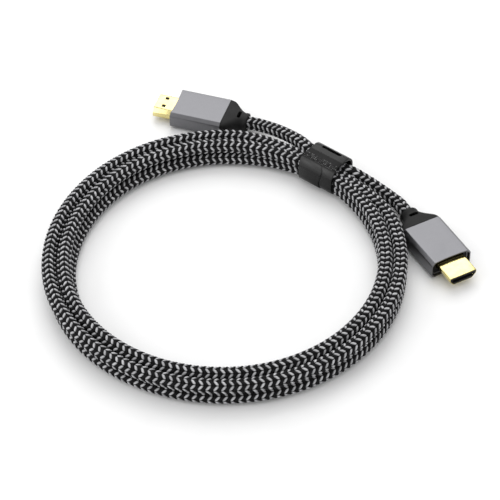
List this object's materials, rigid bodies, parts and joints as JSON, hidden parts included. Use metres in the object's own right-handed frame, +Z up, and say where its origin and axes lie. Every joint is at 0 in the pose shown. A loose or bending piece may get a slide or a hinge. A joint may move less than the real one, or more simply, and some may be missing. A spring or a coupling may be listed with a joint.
{
  "type": "hdmi cable",
  "caption": "Coiled braided audio and video cable with a flat metal-sleeved plug on each end, held by a strap.",
  "frame": {"origin": "middle of the bounding box, on the floor that the coil lies on", "axes": "+Z up through the flat coil; +X to the right and -Y towards the viewer of the coil"},
  "size_m": [0.195, 0.1984, 0.0167],
  "materials": {
    "braid": "herringbone braid of black and light grey yarn",
    "housing": "bead blasted, anodised space grey",
    "relief": "matt moulded",
    "inner_body": "moulded black",
    "gold": "gold plated, polished",
    "strap": "black satin tape with a fine hooked stripe"
  },
  "bodies": {
    "root": {"cable_coil": "braid", "cable_end_a": "braid", "cable_end_b": "braid", "cable_strap": "strap", "connector_shell_a": "gold", "connector_shell_b": "gold", "contact_a_01": "gold", "contact_a_02": "gold", "contact_a_03": "gold", "contact_a_04": "gold", "contact_a_05": "gold", "contact_a_06": "gold", "contact_a_07": "gold", "contact_a_08": "gold", "contact_a_09": "gold", "contact_a_10": "gold", "contact_a_11": "gold", "contact_a_12": "gold", "contact_a_13": "gold", "contact_a_14": "gold", "contact_a_15": "gold", "contact_a_16": "gold", "contact_a_17": "gold", "contact_a_18": "gold", "contact_a_19": "gold", "contact_b_01": "gold", "contact_b_02": "gold", "contact_b_03": "gold", "contact_b_04": "gold", "contact_b_05": "gold", "contact_b_06": "gold", "contact_b_07": "gold", "contact_b_08": "gold", "contact_b_09": "gold", "contact_b_10": "gold", "contact_b_11": "gold", "contact_b_12": "gold", "contact_b_13": "gold", "contact_b_14": "gold", "contact_b_15": "gold", "contact_b_16": "gold", "contact_b_17": "gold", "contact_b_18": "gold", "contact_b_19": "gold", "contact_block_a": "inner_body", "contact_block_b": "inner_body", "inner_body_a": "inner_body", "inner_body_b": "inner_body", "shell_a": "housing", "shell_b": "housing", "strain_relief_a": "relief", "strain_relief_b": "relief"}
  },
  "joints": []
}
